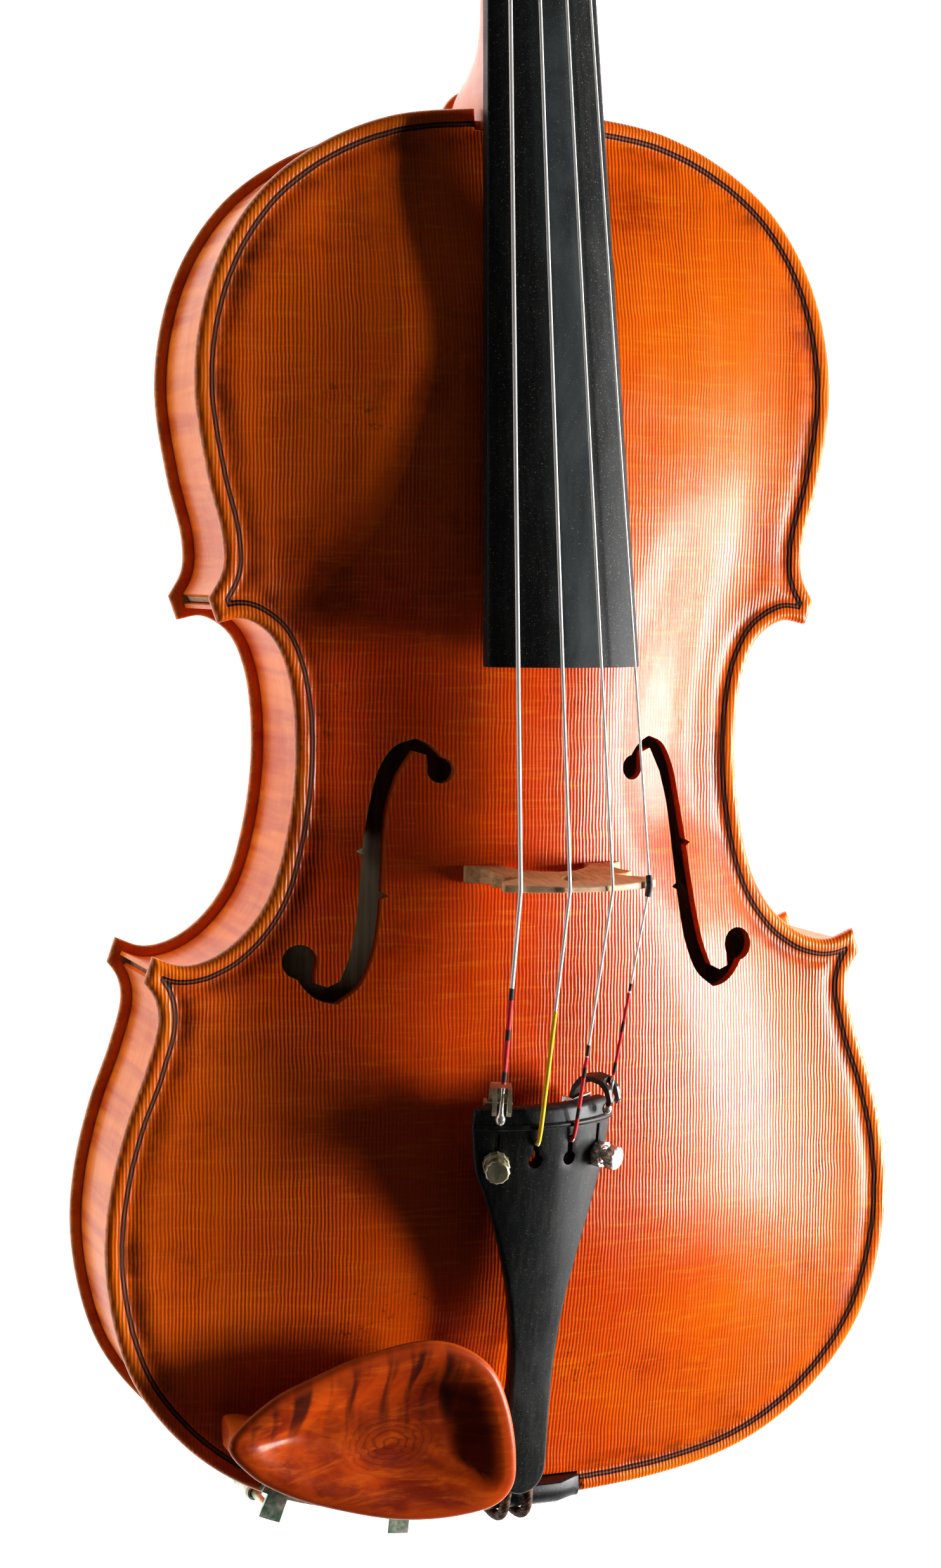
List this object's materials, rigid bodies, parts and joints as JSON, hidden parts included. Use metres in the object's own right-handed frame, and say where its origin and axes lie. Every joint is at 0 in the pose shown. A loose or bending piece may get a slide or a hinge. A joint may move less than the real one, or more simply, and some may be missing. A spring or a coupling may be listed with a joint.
{
  "type": "viola",
  "caption": "Viola with varnished hollow body, f-holes, neck with scroll and turning pegs, tailpiece with working fine tuners, bridge and clamped side chin rest.",
  "frame": {"origin": "bottom centre of the bounding box: the viola lies on its back, with the lowest point of the back at z = 0", "axes": "+X towards the treble side, +Y towards the scroll, +Z out of the belly"},
  "size_m": [0.247, 0.6868, 0.1138],
  "materials": {
    "spruce_varnish": "orange-red gloss varnish over spruce",
    "maple_varnish": "orange-red gloss varnish over flamed maple",
    "inner_wood": "bare pale wood",
    "ebony": "satin black ebony",
    "bridge_maple": "unvarnished maple",
    "string_steel": "wound steel",
    "nickel": "worn nickel plating",
    "gut": "brown cord",
    "chin_rest_wood": "polished red-brown hardwood",
    "green_cloth": "felted cloth",
    "grey_tube": "soft dark tube"
  },
  "bodies": {
    "viola": {"a_lock_nut": "nickel", "a_string": "string_steel", "a_tuner_frame": "nickel", "back_linings": "inner_wood", "back_plate": "maple_varnish", "bass_bar": "inner_wood", "bridge": "bridge_maple", "c_lock_nut": "nickel", "c_string": "string_steel", "c_tuner_frame": "nickel", "chin_rest": "chin_rest_wood", "chin_rest_bracket": "nickel", "chin_rest_pad": "green_cloth", "d_string": "string_steel", "end_button": "ebony", "fingerboard": "ebony", "g_string": "string_steel", "lower_block": "inner_wood", "lower_corner_block_bass": "inner_wood", "lower_corner_block_treble": "inner_wood", "lower_rib_bass": "maple_varnish", "lower_rib_treble": "maple_varnish", "middle_rib_bass": "maple_varnish", "middle_rib_treble": "maple_varnish", "neck": "maple_varnish", "nut": "ebony", "saddle": "ebony", "sound_post": "inner_wood", "string_protector": "grey_tube", "tail_gut": "gut", "tailpiece": "ebony", "tailpiece_fret": "ebony", "top_linings": "inner_wood", "top_plate": "spruce_varnish", "upper_block": "inner_wood", "upper_corner_block_bass": "inner_wood", "upper_corner_block_treble": "inner_wood", "upper_rib_bass": "maple_varnish", "upper_rib_treble": "maple_varnish"},
    "c_peg": {"c_peg": "ebony", "c_winding": "string_steel"},
    "g_peg": {"g_peg": "ebony", "g_winding": "string_steel"},
    "d_peg": {"d_peg": "ebony", "d_winding": "string_steel"},
    "a_peg": {"a_peg": "ebony", "a_winding": "string_steel"},
    "c_screw": {"c_screw": "nickel"},
    "c_knob": {"c_knob": "nickel"},
    "c_lever": {"c_lever": "nickel", "c_ball": "string_steel"},
    "a_screw": {"a_screw": "nickel"},
    "a_knob": {"a_knob": "nickel"},
    "a_lever": {"a_lever": "nickel", "a_ball": "string_steel"},
    "clamp_barrel_1": {"clamp_barrel_1": "nickel"},
    "clamp_barrel_2": {"clamp_barrel_2": "nickel"},
    "clamp_foot": {"clamp_foot": "nickel", "clamp_pad": "green_cloth"}
  },
  "joints": [
    {"name": "c_peg_turn", "type": "hinge", "parent": "viola", "child": "c_peg", "pos_m": [0, 0.2414, 0.0405], "axis": [-1, 0, 0], "range_deg": [-120, 30]},
    {"name": "a_peg_turn", "type": "hinge", "parent": "viola", "child": "a_peg", "pos_m": [0, 0.2594, 0.03768], "axis": [1, 0, 0], "range_deg": [-120, 30]},
    {"name": "g_peg_turn", "type": "hinge", "parent": "viola", "child": "g_peg", "pos_m": [0, 0.2774, 0.03486], "axis": [-1, 0, 0], "range_deg": [-120, 30]},
    {"name": "d_peg_turn", "type": "hinge", "parent": "viola", "child": "d_peg", "pos_m": [0, 0.2954, 0.03204], "axis": [1, 0, 0], "range_deg": [-120, 30]},
    {"name": "c_screw_travel", "type": "slide", "parent": "viola", "child": "c_screw", "axis": [0.2926, 0.1808, -0.939], "range_m": [-0.0008, 0.00131]},
    {"name": "c_knob_turn", "type": "hinge", "parent": "c_screw", "child": "c_knob", "pos_m": [-0.01988, -0.225, 0.09426], "axis": [0.2926, 0.1808, -0.939], "range_deg": [-412, 675]},
    {"name": "c_lever_rock", "type": "hinge", "parent": "viola", "child": "c_lever", "pos_m": [-0.01732, -0.21065, 0.0885], "axis": [0.9562, -0.0553, 0.2873], "range_deg": [-3.55, 5.8]},
    {"name": "a_screw_travel", "type": "slide", "parent": "viola", "child": "a_screw", "axis": [-0.5594, 0.1567, -0.814], "range_m": [-0.0008, 0.00131]},
    {"name": "a_knob_turn", "type": "hinge", "parent": "a_screw", "child": "a_knob", "pos_m": [0.01294, -0.225, 0.0893], "axis": [-0.5594, 0.1567, -0.814], "range_deg": [-412, 675]},
    {"name": "a_lever_rock", "type": "hinge", "parent": "viola", "child": "a_lever", "pos_m": [0.00805, -0.21086, 0.08463], "axis": [0.8289, 0.1058, -0.5493], "range_deg": [-3.55, 5.8]},
    {"name": "clamp_barrel_1_turn", "type": "hinge", "parent": "viola", "child": "clamp_barrel_1", "pos_m": [-0.03767, -0.33636, 0.0375], "axis": [0, 0, 1], "range_deg": [-1126, 0]},
    {"name": "clamp_barrel_2_turn", "type": "hinge", "parent": "viola", "child": "clamp_barrel_2", "pos_m": [-0.07605, -0.32801, 0.0375], "axis": [0, 0, 1], "range_deg": [-1126, 0]},
    {"name": "clamp_foot_travel", "type": "slide", "parent": "viola", "child": "clamp_foot", "axis": [0, 0, 1], "range_m": [-0.005, 0]}
  ],
  "couplings": [
    {"joint": "c_knob_turn", "follows": "c_screw_travel", "rad_per_m": 8975},
    {"joint": "c_lever_rock", "follows": "c_screw_travel", "rad_per_m": 76.92},
    {"joint": "a_knob_turn", "follows": "a_screw_travel", "rad_per_m": 8975},
    {"joint": "a_lever_rock", "follows": "a_screw_travel", "rad_per_m": 76.92},
    {"joint": "clamp_barrel_1_turn", "follows": "clamp_foot_travel", "rad_per_m": 3927},
    {"joint": "clamp_barrel_2_turn", "follows": "clamp_foot_travel", "rad_per_m": 3927}
  ]
}
